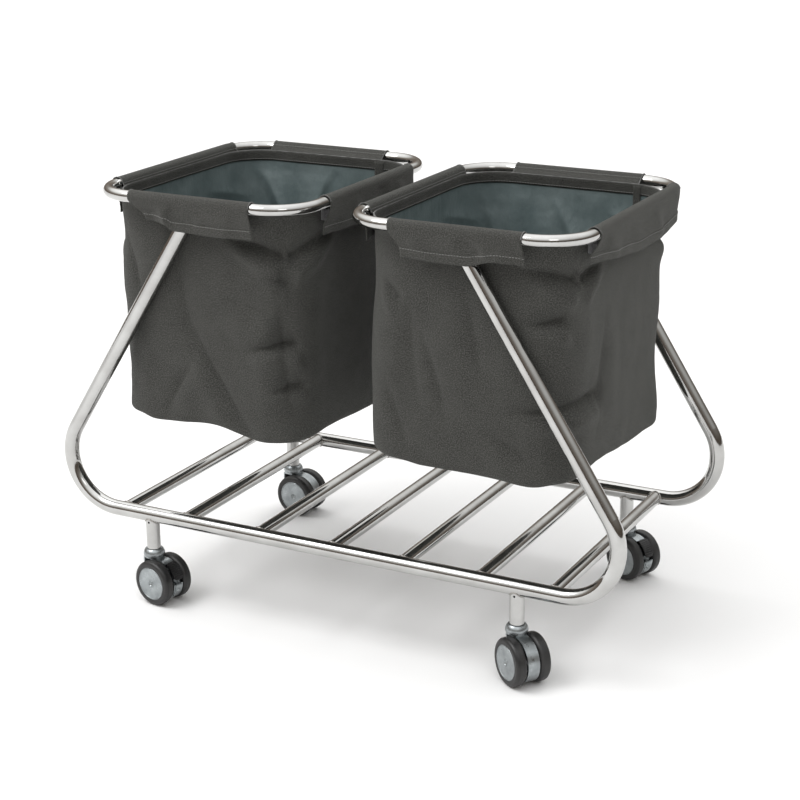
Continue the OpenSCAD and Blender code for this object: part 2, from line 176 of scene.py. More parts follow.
def zinc_finish():
    """Satin zinc plate, spangled, with dull patches."""
    f = Finish("zinc", Metallic=1.0)
    place = f.place()
    cells = f.node("TexVoronoi", {"Vector": place, "Scale": 160.0}).outputs["Distance"]
    patch = f.noise(place, 60.0, 4.0)
    colour = f.mix(f.span(patch, 0.3, 0.7), rgb(0.40, 0.43, 0.44), rgb(0.27, 0.29, 0.30))
    rough = f.span(f.math("ADD", patch, cells), 0.4, 1.4, 0.22, 0.42)
    return f.wire(Base_Color=colour, Roughness=rough, Normal=f.bump(cells, 0.00015, 0.35))


def weld_finish():
    """Brushed weld metal under the plating."""
    f = Finish("weld", Metallic=1.0)
    grain = f.noise(f.place(), 500.0, 4.0)
    colour = f.mix(grain, rgb(0.46, 0.45, 0.43), rgb(0.28, 0.26, 0.24))
    rough = f.span(grain, 0.2, 0.8, 0.2, 0.4)
    return f.wire(Base_Color=colour, Roughness=rough, Normal=f.bump(grain, 0.0004))


def tyre_finish():
    """Soft dark grey tread with dust in its pores."""
    f = Finish("tyre_rubber", Specular_IOR_Level=0.5)
    place = f.place()
    dust = f.noise(place, 45.0, 6.0, 0.65)
    pores = f.noise(place, 900.0, 2.0)
    colour = f.mix(f.span(dust, 0.38, 0.75), rgb(0.011, 0.011, 0.0115), rgb(0.028, 0.027, 0.026))
    rough = f.span(dust, 0.3, 0.7, 0.34, 0.56)
    return f.wire(Base_Color=colour, Roughness=rough, Normal=f.bump(pores, 0.0001, 0.5))


def pedal_finish():
    """Moulded black plastic with a fine spark grain."""
    f = Finish("pedal_plastic", Specular_IOR_Level=0.5)
    place = f.place()
    grain = f.noise(place, 1400.0, 2.0)
    scuff = f.noise(place, 80.0, 5.0)
    colour = f.mix(f.span(scuff, 0.45, 0.75), rgb(0.006, 0.006, 0.0065), rgb(0.02, 0.02, 0.021))
    rough = f.span(scuff, 0.3, 0.7, 0.24, 0.42)
    return f.wire(Base_Color=colour, Roughness=rough, Normal=f.bump(grain, 0.00012, 0.6))


def weave(f, pitch, slub):
    """Height of a plain weave with threads pitch apart and uneven by slub, and the unevenness alone."""
    cloth = f.cloth()
    drift = f.noise(cloth, 160.0, 2.0)
    split = f.node("SeparateXYZ", {"Vector": cloth})
    turns = 2 * math.pi / pitch
    waves = []
    for axis in ("X", "Y"):
        phase = f.math("MULTIPLY", split.outputs[axis], turns)
        waves.append(f.math("SINE", f.math("ADD", phase, f.math("MULTIPLY", drift, 7.0))))
    threads = f.math("MULTIPLY", *waves)
    warp = f.noise(f.stretched(cloth, (900.0, 60.0, 1.0)), 1.0, 2.0)
    weft = f.noise(f.stretched(cloth, (60.0, 900.0, 1.0)), 1.0, 2.0)
    uneven = f.math("MULTIPLY", f.math("ADD", warp, weft), slub)
    return f.math("ADD", threads, uneven), uneven


def canvas_finish():
    """Charcoal polyester canvas, mottled, with pale specks where its threads cross."""
    f = Finish("canvas", Specular_IOR_Level=0.2, Sheen_Weight=0.15, Sheen_Roughness=0.45)
    f.shader.inputs["Sheen Tint"].default_value = rgb(0.60, 0.60, 0.58)
    threads, uneven = weave(f, 1.15 * MM, 2.2)
    cloth = f.cloth()
    blotch = f.noise(cloth, 26.0, 5.0, 0.6)
    speck = f.noise(cloth, 560.0, 3.0, 0.75)
    base = f.mix(f.span(blotch, 0.32, 0.7), rgb(0.020, 0.020, 0.0185), rgb(0.037, 0.037, 0.034))
    worn = f.mix(f.span(speck, 0.45, 0.63), base, rgb(0.106, 0.106, 0.097))
    colour = f.mix(f.span(threads, 1.2, 3.4, 0.0, 0.4), worn, rgb(0.072, 0.072, 0.067))
    rough = f.span(uneven, 1.4, 3.0, 0.95, 0.75)
    coarse = f.bump(blotch, 0.0016, 0.5)
    return f.wire(Base_Color=colour, Roughness=rough, Normal=f.bump(threads, 0.00022, 0.8, coarse))


def lining_finish():
    """Grey-green coated lining with a dull shine and faint creases."""
    f = Finish("lining", Specular_IOR_Level=0.45)
    threads, _ = weave(f, 0.9 * MM, 1.2)
    cloth = f.cloth()
    cloud = f.noise(cloth, 17.0, 4.0)
    crease = f.noise(f.stretched(cloth, (70.0, 34.0, 1.0)), 1.0, 5.0, 0.5)
    colour = f.mix(f.span(cloud, 0.3, 0.7), rgb(0.098, 0.130, 0.133), rgb(0.158, 0.197, 0.200))
    rough = f.span(cloud, 0.3, 0.7, 0.36, 0.5)
    wrinkled = f.bump(crease, 0.0035, 0.6)
    return f.wire(Base_Color=colour, Roughness=rough, Normal=f.bump(threads, 0.00006, 0.6, wrinkled))


def thread_finish():
    """Twisted sewing thread, a shade paler than the canvas."""
    f = Finish("thread", Specular_IOR_Level=0.3)
    ply = f.noise(f.place(), 2600.0, 2.0)
    colour = f.mix(ply, rgb(0.14, 0.14, 0.135), rgb(0.27, 0.27, 0.26))
    rough = f.span(ply, 0.3, 0.7, 0.6, 0.8)
    return f.wire(Base_Color=colour, Roughness=rough, Normal=f.bump(ply, 0.0002))


def piping_painted_highlight_finish():
    """Folded canvas edge, painted paler than the cloth as a highlight along the fold, and in patches paler
    still.
    """
    f = Finish("piping", Specular_IOR_Level=0.25, Sheen_Weight=0.2)
    weft = f.noise(f.place(), 900.0, 3.0)
    highlight_patches = f.noise(f.place(), 70.0, 4.0)
    # painted highlight: the fold is coloured paler than the canvas it is made of, standing in for the light
    # it catches along its crest
    cloth = f.mix(weft, rgb(0.055, 0.055, 0.052), rgb(0.12, 0.12, 0.115))
    colour = f.mix(f.span(highlight_patches, 0.4, 0.75), cloth, rgb(0.19, 0.19, 0.185))
    rough = f.span(weft, 0.3, 0.7, 0.75, 0.95)
    return f.wire(Base_Color=colour, Roughness=rough, Normal=f.bump(weft, 0.0003))


def tape_finish():
    """Hook-and-loop tape: a dense nap of grey loops."""
    f = Finish("hook_tape", Specular_IOR_Level=0.3, Sheen_Weight=0.5)
    place = f.place()
    nap = f.node("TexVoronoi", {"Vector": place, "Scale": 900.0}).outputs["Distance"]
    fuzz = f.noise(place, 1500.0, 4.0)
    colour = f.mix(nap, rgb(0.035, 0.035, 0.036), rgb(0.14, 0.14, 0.145))
    rough = f.span(fuzz, 0.3, 0.7, 0.7, 0.95)
    return f.wire(Base_Color=colour, Roughness=rough, Normal=f.bump(nap, 0.0008))


def floor_finish():
    """Pale studio paper."""
    f = Finish("floor", Roughness=0.9)
    f.shader.inputs["Base Color"].default_value = rgb(0.90, 0.90, 0.90)
    return f.material


chrome, zinc, weld_metal = chrome_finish(), zinc_finish(), weld_finish()
tyre_rubber, pedal_plastic = tyre_finish(), pedal_finish()
canvas, lining, hook_tape = canvas_finish(), lining_finish(), tape_finish()
thread, piping = thread_finish(), piping_painted_highlight_finish()


def finish_of(node):
    """The finish of a CAD node that stays in sight."""
    if "tyre" in node:
        return tyre_rubber
    if "pedal" in node:
        return pedal_plastic
    zinc_ends = ("collar", "hood", "axle", "hub", "brake_stop", "swivel_pins")
    return zinc if node.endswith(zinc_ends) else chrome


def dress_frame():
    """The CAD nodes that stay in sight get their finish."""
    for name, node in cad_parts.items():
        if "_bag_" not in name:
            node.data.materials.clear()
            node.data.materials.append(finish_of(name))


# ---------- Mesh helpers ----------


def smooth(x):
    """0 below 0, 1 above 1, and an easy curve between."""
    x = np.clip(x, 0.0, 1.0)
    return x * x * (3 - 2 * x)


def bell(x, width):
    """1 at 0, fading to nothing about two widths away."""
    return np.exp(-((x / width) ** 2))


def ridge(x, width):
    """Like bell, with a sharp crest."""
    blunt = 1.2 * MM
    return np.exp(-(np.sqrt(x * x + blunt * blunt) - blunt) / (0.75 * width))


def eased(x, places, values):
    """The value at x, joined between the given places by an easy curve."""
    i = np.clip(np.searchsorted(places, x, side="right") - 1, 0, len(places) - 2)
    share = smooth((x - places[i]) / (places[i + 1] - places[i]))
    return values[i] + share * (values[i + 1] - values[i])


def crumple(points, size, seed):
    """Smooth noise from -1 to 1 at each point, with lumps of about that size."""
    flat = points.reshape(-1, 3) / size + seed * 17.3
    values = np.array([noise.noise(Vector(p)) for p in flat.tolist()])
    return values.reshape(points.shape[:-1])


def make_piece(name, points, faces, material, cloth=None):
    """A mesh object; cloth is each point's place on the flat cloth, for the weave."""
    mesh = bpy.data.meshes.new(name)
    mesh.from_pydata(points.reshape(-1, 3).tolist(), [], faces)
    mesh.polygons.foreach_set("use_smooth", [True] * len(mesh.polygons))
    if cloth is not None:
        spots = mesh.attributes.new("cloth", "FLOAT_VECTOR", "POINT")
        flat = np.concatenate([cloth.reshape(-1, 2), np.zeros((cloth.size // 2, 1))], axis=1)
        spots.data.foreach_set("vector", flat.astype(np.float32).ravel())
    mesh.materials.append(material)
    mesh.update()
    piece = bpy.data.objects.new(name, mesh)
    bpy.context.scene.collection.objects.link(piece)
    return piece


def hang_up(piece, slot, *nodes):
    """The piece belongs to the cart frame and takes the place of the soft CAD solids."""
    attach(piece, "cart_frame")
    if nodes:
        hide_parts(*nodes)
    return piece


def quads(rows, columns, closed, first=0):
    """Faces of a grid of points, row by row; closed joins the last column to the first."""
    i, j = np.meshgrid(np.arange(rows - 1), np.arange(columns if closed else columns - 1), indexing="ij")
    k = (j + 1) % columns
    corners = [i * columns + j, i * columns + k, (i + 1) * columns + k, (i + 1) * columns + j]
    return (np.stack([c.ravel() for c in corners], axis=1) + first).tolist()


def normals_of(grid, closed):
    """Unit normals of a grid of points, to the left of the columns seen along the rows."""
    down = np.gradient(grid, axis=0)
    if closed:
        across = np.roll(grid, -1, axis=1) - np.roll(grid, 1, axis=1)
    else:
        across = np.gradient(grid, axis=1)
    normal = np.cross(down, across)
    return normal / np.maximum(np.linalg.norm(normal, axis=-1, keepdims=True), 1e-12)


def cloth_piece(name, grid, thickness, material, cloth, closed=False, capped=False):
    """A sheet of cloth: the face in sight is the grid, the other lies thickness behind it.
    closed joins its last column to the first, and capped closes its last row with one face."""
    rows, columns = grid.shape[:2]
    behind = grid - normals_of(grid, closed) * thickness
    half = rows * columns
    front = quads(rows, columns, closed)
    back = [q[::-1] for q in quads(rows, columns, closed, half)]
    edge_rows = [0] if capped else [0, rows - 1]
    rim = []
    for row in edge_rows:
        for j in range(columns if closed else columns - 1):
            a, b = row * columns + j, row * columns + (j + 1) % columns
            side = [a, a + half, b + half, b]
            rim.append(side if row == 0 else side[::-1])
    if not closed:
        for column in (0, columns - 1):
            for i in range(rows - 1):
                a, b = i * columns + column, (i + 1) * columns + column
                side = [a, b, b + half, a + half]
                rim.append(side if column == 0 else side[::-1])
    faces = front + back + rim
    if capped:
        last = [(rows - 1) * columns + j for j in range(columns)]
        faces += [last[::-1], [k + half for k in last]]
    faces = [f[::-1] for f in faces]
    points = np.concatenate([grid.reshape(-1, 3), behind.reshape(-1, 3)])
    return make_piece(name, points, faces, material, np.concatenate([cloth.reshape(-1, 2)] * 2))


def tube_piece(name, loops, material):
    """Tubes through rings of points. Each loop is an array (rings, sides, 3), and whether its ends meet."""
    points, faces, first = [], [], 0
    for rings, closed in loops:
        rows, columns = rings.shape[:2]
        points.append(rings.reshape(-1, 3))
        faces += quads(rows, columns, True, first)
        if closed:
            last = (rows - 1) * columns
            for j in range(columns):
                k = (j + 1) % columns
                faces.append([first + last + j, first + last + k, first + k, first + j])
        else:
            faces.append([first + j for j in range(columns)][::-1])
            faces.append([first + (rows - 1) * columns + j for j in range(columns)])
        first += rows * columns
    return make_piece(name, np.concatenate(points), faces, material)


def rings_along(path, radii, sides):
    """Rings of points square to a path."""
    ahead = np.gradient(path, axis=0)
    ahead /= np.linalg.norm(ahead, axis=1, keepdims=True)
    up = np.where(np.abs(ahead[:, 2:3]) < 0.9, [[0.0, 0.0, 1.0]], [[1.0, 0.0, 0.0]])
    side = np.cross(ahead, up)
    side /= np.linalg.norm(side, axis=1, keepdims=True)
    over = np.cross(side, ahead)
    turn = np.arange(sides) * 2 * math.pi / sides
    spread = side[:, None] * np.cos(turn)[None, :, None] + over[:, None] * np.sin(turn)[None, :, None]
    return path[:, None] + spread * np.asarray(radii).reshape(-1, 1, 1)


def stitches(line, outward):
    """Loops for a row of stitches along a line of points, lifted a little outward."""
    steps = np.linalg.norm(np.diff(line, axis=0), axis=1)
    run = np.concatenate([[0.0], np.cumsum(steps)])
    marks = np.array([0.0, 0.12, 0.5, 0.88, 1.0])  # along one stitch
    lifts = np.array([-0.5, 0.25, 0.5, 0.25, -0.5]) * THREAD_RADIUS
    radii = THREAD_RADIUS * np.array([0.4, 0.9, 1.0, 0.9, 0.4])
    made = []
    for start in np.arange(STITCH_GAP, run[-1] - STITCH, STITCH + STITCH_GAP):
        at = start + STITCH * marks
        path = np.stack([np.interp(at, run, line[:, k]) for k in range(3)], axis=1)
        lift = np.stack([np.interp(at, run, outward[:, k]) for k in range(3)], axis=1)
        path += lift * lifts[:, None]
        made.append((rings_along(path, radii, 5), False))
    return made


# ---------- Bags ----------

# The walls in the order of u, and the way each one faces
FACES = {"front": (0, -1), "right": (1, 0), "back": (0, 1), "left": (-1, 0)}


class Bag:
    """One bag: where its cloth runs. Places on the wall are (u, h). u counts the corners: 0 is front
    left, 1 front right, 2 back right and 3 back left. h is 0 at the bottom and 1 at the rim."""

    def __init__(self, side, *, bottom, folds, lumps, lining_folds, seed):
        self.side = side
        low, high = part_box(f"{side}_bag_shell")
        hoop_low, hoop_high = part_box(f"{side}_hoop")
        self.centre = (low + high) / 2
        self.half = ((high.x - low.x) / 2, (high.y - low.y) / 2)
        self.rim, self.base = high.z, low.z
        self.tube = (hoop_high.z - hoop_low.z) / 2
        self.hoop_z = (hoop_high.z + hoop_low.z) / 2
        half_x, half_y = (hoop_high.x - hoop_low.x) / 2, (hoop_high.y - hoop_low.y) / 2
        self.hoop_half = (half_x - self.tube, half_y - self.tube)
        self.arc = math.pi * BAG_CORNER / 4
        self.straight = [2 * (self.half[k % 2] - BAG_CORNER) for k in range(4)]
        self.sides = [s + 2 * self.arc for s in self.straight]
        self.starts = np.concatenate([[0.0], np.cumsum(self.sides)])
        self.around = self.starts[-1]
        self.bottom, self.folds, self.lumps = bottom, folds, lumps
        self.lining_folds, self.seed = lining_folds, seed

    def ring(self, s):
        """Place, outward direction and u of points that lie s round the bag."""
        s = np.asarray(s) % self.around
        k = np.clip(np.searchsorted(self.starts, s, side="right") - 1, 0, 3)
        run = s - self.starts[k]
        straight = np.array(self.straight)[k]
        turn = (np.minimum(run, self.arc) - self.arc) / BAG_CORNER
        turn = turn + np.maximum(run - self.arc - straight, 0) / BAG_CORNER
        along = -straight / 2 + np.clip(run - self.arc, 0, straight) + BAG_CORNER * np.sin(turn)
        out = np.array(self.half)[(k + 1) % 2] - BAG_CORNER + BAG_CORNER * np.cos(turn)
        facing = np.array(list(FACES.values()))[k]
        ahead = np.stack([-facing[..., 1], facing[..., 0]], axis=-1)
        place = along[..., None] * ahead + out[..., None] * facing + np.array(self.centre[:2])
        outward = np.cos(turn)[..., None] * facing + np.sin(turn)[..., None] * ahead
        return place, outward, k + run / np.array(self.sides)[k]

    def arc_length(self, u):
        """How far round the bag u lies."""
        return np.interp(u, np.arange(5), self.starts)

    def edge(self, u):
        """Height of the bottom edge at u, eased between the places that are given."""
        first, height = self.bottom[0]
        places, heights = np.array([*self.bottom, (first + 4, height)], float).T
        return eased((u - first) % 4 + first, places, heights * MM)

    def beside(self, s, u):
        """How far s lies past u, the short way round the bag."""
        return (s - self.arc_length(u) + self.around / 2) % self.around - self.around / 2

    def groove(self, s, z, fold):
        """How far a fold pushes the cloth out (or in, below 0). It deepens towards its end."""
        u0, h0, u1, h1, width, depth, cut = fold
        s0, s1 = self.arc_length(u0), self.arc_length(u1)
        z0, z1 = (self.base + h * (self.rim - self.base) for h in (h0, h1))
        length = math.hypot(s1 - s0, z1 - z0)
        ahead = ((s1 - s0) / length, (z1 - z0) / length)
        near = self.beside(s, u0)
        along = (near * ahead[0] + (z - z0) * ahead[1]) / length
        above = (z - z0) * ahead[0] - near * ahead[1]
        if ahead[0] < 0:
            above = -above
        above = above + 0.10 * length * (along - 0.5) ** 2 * np.sign(cut)
        taper = smooth((along + 0.1) / 0.7) * smooth((1.0 + abs(cut) - along) / (2 * abs(cut)))
        w = width * MM * (0.6 + 0.6 * np.clip(along, 0, 1))
        hollow = np.where(above > 0, ridge(above, 1.3 * w), ridge(above, 0.75 * w))
        return depth * MM * taper * (0.45 * bell(above + 1.9 * w, 1.3 * w) - hollow)

    def swell(self, s, z):
        """How far the canvas stands out from the plain wall."""
        out = np.zeros_like(s)
        rise = (z - self.base) / (self.rim - self.base)
        for u, h, wide, tall, far in self.lumps:
            above = z - self.base - h * (self.rim - self.base)
            out += far * MM * bell(self.beside(s, u), wide * MM) * bell(above, tall * MM)
        for fold in self.folds:
            out += FOLD_GAIN * self.groove(s, z, fold)
        place, _, _ = self.ring(s)
        points = np.concatenate([place, z[..., None]], axis=-1)
        ripple = sum(far * crumple(points, size, self.seed + i) for i, (far, size) in enumerate(RIPPLES))
        return out + ripple * MM * smooth((1.02 - rise) / 0.08)

    def canvas_wall(self, s, z, inset=0.0):
        """Points of the canvas, moved in by inset."""
        place, outward, _ = self.ring(s)
        out = self.swell(s, z) - inset
        return np.concatenate([place + outward * out[..., None], z[..., None]], axis=-1)

    def lining_wall(self, s, z, inset=0.0):
        """The lining follows the canvas and folds away from it, never towards it."""
        place, outward, _ = self.ring(s)
        free = smooth((self.rim - HEM_DEPTH - z) / 0.03)
        sag = sum((np.abs(self.groove(s, z, fold)) for fold in self.lining_folds), np.zeros_like(s))
        points = np.concatenate([place, z[..., None]], axis=-1)
        sag = sag + 2.4 * MM * np.abs(crumple(points, 0.06, self.seed + 5))
        out = self.swell(s, z) - LINING_GAP - inset - sag * free
        return np.concatenate([place + outward * out[..., None], z[..., None]], axis=-1)

    def wall_rows(self, s, top):
        """Heights of the wall rows, evenly spread between top and the roll at the bottom edge."""
        _, _, u = self.ring(s)
        foot = self.edge(u) + ROLL
        count = int(round((top - self.base - ROLL) / CLOTH_STEP))
        share = np.linspace(0, 1, count)[:, None]
        return top + (foot[None, :] - top) * share

    def roll_and_bottom(self, foot, s, lift):
        """Rows that turn under from the lowest wall row and close the bottom."""
        _, outward, u = self.ring(s)
        edge = self.edge(u)
        centre = np.array([self.centre.x, self.centre.y])
        middle = self.base + 3 * MM + lift
        rows = []
        for turn in np.linspace(0, math.pi / 2, ROLL_ROWS + 1)[1:]:
            inset = (1 - math.cos(turn)) * (ROLL - lift)
            spot = foot[:, :2] - outward * inset
            rows.append(np.column_stack([spot, edge + lift + (ROLL - lift) * (1 - math.sin(turn))]))
        rim_row = rows[-1]
        for share in np.linspace(1, LAST_SHARE, BOTTOM_ROWS + 1)[1:]:
            spot = centre + (rim_row[:, :2] - centre) * share
            points = np.column_stack([spot, middle + (rim_row[:, 2] - middle) * share ** 3])
            points[:, 2] += 1.6 * MM * crumple(points, 0.07, self.seed + 9) * min(1, 6 * (1 - share))
            rows.append(points)
        return np.array(rows)


def cloth_spots(grid, s):
    """Where each point of a grid lies on the flat cloth: along the ring, and down it."""
    down = np.linalg.norm(np.diff(grid, axis=0), axis=-1).mean(axis=1)
    fall = np.concatenate([[0.0], np.cumsum(down)])
    return np.stack(np.broadcast_arrays(s[None, :], fall[:, None]), axis=-1)


def ring_steps(bag):
    """Even steps round the bag, for the columns of its cloth."""
    count = int(round(bag.around / CLOTH_STEP))
    return np.arange(count) * bag.around / count


def bag_canvas(bag):
    """Turned-in band, fold, wall and bottom, as one sheet."""
    s = ring_steps(bag)
    rows = []
    for z in np.linspace(bag.rim - HEM_DEPTH, bag.rim - HEM_FOLD, 6)[:-1]:
        rows.append(bag.canvas_wall(s, np.full_like(s, z), 2 * HEM_FOLD))
    for turn in np.linspace(math.pi, 0, 7):
        inset, rise = HEM_FOLD * (1 - math.cos(turn)), HEM_FOLD * (math.sin(turn) - 1)
        rows.append(bag.canvas_wall(s, np.full_like(s, bag.rim + rise), inset))
    heights = bag.wall_rows(s, bag.rim - HEM_FOLD)[1:]
    wall = [bag.canvas_wall(s, z) for z in heights]
    grid = np.concatenate([np.array(rows), np.array(wall), bag.roll_and_bottom(wall[-1], s, 0.0)])
    name = f"{bag.side}_bag_canvas"
    piece = cloth_piece(name, grid, CANVAS, canvas, cloth_spots(grid, s), closed=True, capped=True)
    return hang_up(piece, "bag_canvas", f"{bag.side}_bag_shell")


def bag_lining(bag):
    """Lining from behind the band down to the bottom, with its columns turned so that it faces inward."""
    s = ring_steps(bag)
    heights = bag.wall_rows(s, bag.rim - HEM_DEPTH + HEM_LAP)
    wall = [bag.lining_wall(s, z) for z in heights]
    bottom = bag.roll_and_bottom(wall[-1], s, BOTTOM_GAP)
    grid = np.concatenate([np.array(wall), bottom])[:, ::-1]
    name = f"{bag.side}_bag_lining"
    piece = cloth_piece(name, grid, LINING, lining, cloth_spots(grid, s), closed=True, capped=True)
    return hang_up(piece, "bag_canvas")


def seam_tape(bag, u, width):
    """Canvas tape over the lining's upright seam."""
    middle = bag.arc_length(u)
    s = middle + np.linspace(-width / 2, width / 2, 7)
    z = np.linspace(bag.rim - 2 * MM, bag.base + 2 * ROLL, 90)
    across, down = np.meshgrid(s, z)
    grid = bag.lining_wall(across, down, 2.0 * MM)[:, ::-1]
    piece = cloth_piece(f"{bag.side}_bag_seam_tape", grid, SEAM_TAPE, canvas, cloth_spots(grid, s))
    return hang_up(piece, "bag_canvas")


# ---------- Sleeves ----------


class Sleeve:
    """A strip that runs from the bag's rim over one straight of the hoop and hangs down outside as a
    flap. Places on it are a, along the hoop from the middle of the straight (anticlockwise seen from
    above), and the distance down."""

    def __init__(self, bag, face, *, ends, hem_ends, drops, folds, lean):
        self.bag, self.face = bag, face
        self.out = np.array(FACES[face], float)
        self.ahead = np.array([-self.out[1], self.out[0]])
        across = 1 if face in ("front", "back") else 0
        # From the bag's middle: out to the tube, along to the tube round the corner, out to the wall
        self.half, self.long = bag.hoop_half[across], bag.hoop_half[1 - across]
        self.wall = bag.half[across]
        self.ends, self.hem_ends = ends, hem_ends
        self.drops, self.folds = drops, folds
        self.lean_marks = lean
        self.radius = bag.tube + TUBE_GAP + SLEEVE_CLOTH
        self.top_run = self.half - self.wall + RIM_LAP

    def hoop_line(self, a):
        """Place and outward direction of the hoop's centre line at a."""
        straight = self.long - HOOP_CORNER
        past = np.maximum(np.abs(a) - straight, 0.0) * np.sign(a)
        turn = past / HOOP_CORNER
        along = np.clip(a, -straight, straight) + HOOP_CORNER * np.sin(turn)
        out = self.half - HOOP_CORNER * (1 - np.cos(turn))
        place = along[..., None] * self.ahead + out[..., None] * self.out + np.array(self.bag.centre[:2])
        return place, np.cos(turn)[..., None] * self.out + np.sin(turn)[..., None] * self.ahead

    def profile(self):
        """Rows down the strip, from the rim to the hem: outward and upward from the hoop's middle, and
        the share of the flap that lies above the row."""
        start = np.array([-self.top_run, self.bag.rim - self.bag.hoop_z - TUBE_GAP])
        reach = math.hypot(*start)
        tangent = math.atan2(start[1], start[0]) % (2 * math.pi) - math.acos(min(1.0, self.radius / reach))
        lead = [start + (self.on_tube(tangent) - start) * t for t in np.linspace(0, 1, LEAD_ROWS + 1)[:-1]]
        over = [self.on_tube(angle) for angle in np.linspace(tangent, -0.05, TUBE_ROWS)]
        rows = [(p[0], p[1], 0.0) for p in lead + over]
        last = over[-1]
        rows += [(last[0], last[1], t) for t in np.linspace(0, 1, FLAP_ROWS + 1)[1:]]
        return rows

    def on_tube(self, angle):
        """Outward and upward of the strip where it lies on the tube."""
        return self.radius * np.array([math.cos(angle), math.sin(angle)])

    def drop(self, a):
        """Length of the flap at a."""
        places, drops = np.array(self.drops, float).T
        return eased(a / MM, places, drops * MM)

    def lean(self, a):
        """How far the flap's hem stands out at a, or in, below 0."""
        return np.interp(a / MM, *zip(*self.lean_marks)) * MM

    def grid(self):
        """Points of the strip, row by row, and their places on the flat cloth."""
        columns = int(round((self.ends[1] - self.ends[0]) * MM / FLAP_STEP))
        even = np.linspace(0, 1, columns)
        rows = []
        for out, up, share in self.profile():
            shift = smooth(share * 1.15)
            first, last = (
                (end + (hem_end - end) * shift) * MM for end, hem_end in zip(self.ends, self.hem_ends)
            )
            a = first + (last - first) * even
            place, outward = self.hoop_line(a)
            far = self.drop(a) * share
            past_seam = far - (self.drop(a) - FLAP_HEM)
            hem = smooth(past_seam / (1.2 * MM)) * (share > 0)
            seam = bell(past_seam, 1.6 * MM) * (share > 0)
            move = out + self.lean(a) * smooth(share * 1.2) + 0.8 * MM * hem - 0.5 * MM * seam
            pressed = sum((self.crease(a, far, up, fold) for fold in self.folds), np.zeros_like(a))
            move = move + np.maximum(pressed, -FLAP_ROOM) * smooth(share * 5)
            points = np.column_stack([place, np.full_like(a, self.bag.hoop_z + up) - far])
            loose = smooth(share * 2) * 0.9 + (0.12 if share == 0 else 0.25)
            move = move + loose * MM * crumple(points, 0.026, self.bag.seed + 3)
            points[:, :2] += outward * move[:, None]
            rows.append(points)
        grid = np.array(rows)
        return grid, cloth_spots(grid, even * (self.ends[1] - self.ends[0]) * MM)

    def crease(self, a, far, up, fold):
        """A fold on the flap, from (a, down) to (a, down) in millimetres, then its width and its height,
        which is outward above 0."""
        a0, d0, a1, d1, width, height = fold
        length = math.hypot(a1 - a0, d1 - d0) * MM
        ahead = ((a1 - a0) * MM / length, (d1 - d0) * MM / length)
        da, dd = a - a0 * MM, far - up - d0 * MM
        along = (da * ahead[0] + dd * ahead[1]) / length
        aside = da * ahead[1] - dd * ahead[0]
        ends = smooth((along + 0.25) / 0.5) * smooth((1.25 - along) / 0.5)
        return height * MM * bell(aside, width * MM) * ends


def sleeve_piece(sleeve):
    """The sleeve's cloth and its grid of points."""
    name = f"{sleeve.bag.side}_bag_{sleeve.face}"
    grid, spots = sleeve.grid()
    piece = cloth_piece(f"{name}_flap_sleeve", grid, SLEEVE_CLOTH, canvas, spots)
    hang_up(piece, "bag_canvas", f"{name}_sleeve")
    return piece, grid


def sleeve_stitches(grid):
    """Rows of stitches along the flap's hem and along the bag's rim."""
    out = normals_of(grid, False)
    down = np.linalg.norm(np.diff(grid, axis=0), axis=-1).mean(axis=1)
    fall = np.concatenate([[0.0], np.cumsum(down)])
    row = int(np.searchsorted(fall, fall[-1] - FLAP_HEM + 1.5 * MM))
    loops = stitches(grid[row], out[row])
    loops += stitches(grid[LEAD_ROWS - 1], out[LEAD_ROWS - 1])
    return loops


def bag_stitching(bag, grids):
    """Every row of stitches on one bag, as one piece."""
    loops = [loop for grid in grids for loop in sleeve_stitches(grid)]
    s = ring_steps(bag)
    s = np.append(s, s[0] + bag.around)
    _, outward, _ = bag.ring(s)
    flat = np.column_stack([outward, np.zeros(len(s))])
    band = bag.canvas_wall(s, np.full_like(s, bag.rim - HEM_DEPTH + 2.5 * MM), 2 * HEM_FOLD)
    loops += stitches(band, -flat)
    piece = tube_piece(f"{bag.side}_bag_stitching", loops, thread)
    return hang_up(piece, "bag_canvas")


def bag_piping(bag, grids):
    """The fold along the bag's rim and over each sleeve end, as one piece, in a finish painted paler as its
    highlight.
    """
    s = ring_steps(bag)
    edge = bag.canvas_wall(s, np.full_like(s, bag.rim + 0.5 * MM), HEM_FOLD)
    round_rim = np.concatenate([edge, edge[:1]])
    loops = [(rings_along(round_rim, 1.0 * MM * np.ones(len(round_rim)), 8)[:-1], True)]
    for grid in grids:
        for column in (0, -1):
            path = grid[:LEAD_ROWS + TUBE_ROWS - 2, column]  # it stops short of the flap
            loops.append((rings_along(path, 0.9 * MM * np.ones(len(path)), 6), False))
    piece = tube_piece(f"{bag.side}_bag_piping", loops, piping)
    return hang_up(piece, "bag_canvas")


def tape_strip(sleeve, a):
    """One hook-and-loop strip that bridges from the back of the flap to the bag wall."""
    bag = sleeve.bag
    place, outward = sleeve.hoop_line(np.array(a))
    start = sleeve.radius - 1.4 * MM - FLAP_ROOM + min(float(sleeve.lean(a)), 0.0)
    reach = max(sleeve.half - sleeve.wall + start, 3 * MM)
    rows = []
    for z in np.linspace(TAPE_TOP, TAPE_FOOT, 6):
        line = []
        for t in np.linspace(0, 1, 9):
            spot = place + outward * (start - t * reach)
            bow = 2.2 * MM * math.sin(2 * math.pi * t)
            line.append([*(spot + sleeve.ahead * bow), bag.hoop_z + z])
        rows.append(line)
    return np.array(rows)


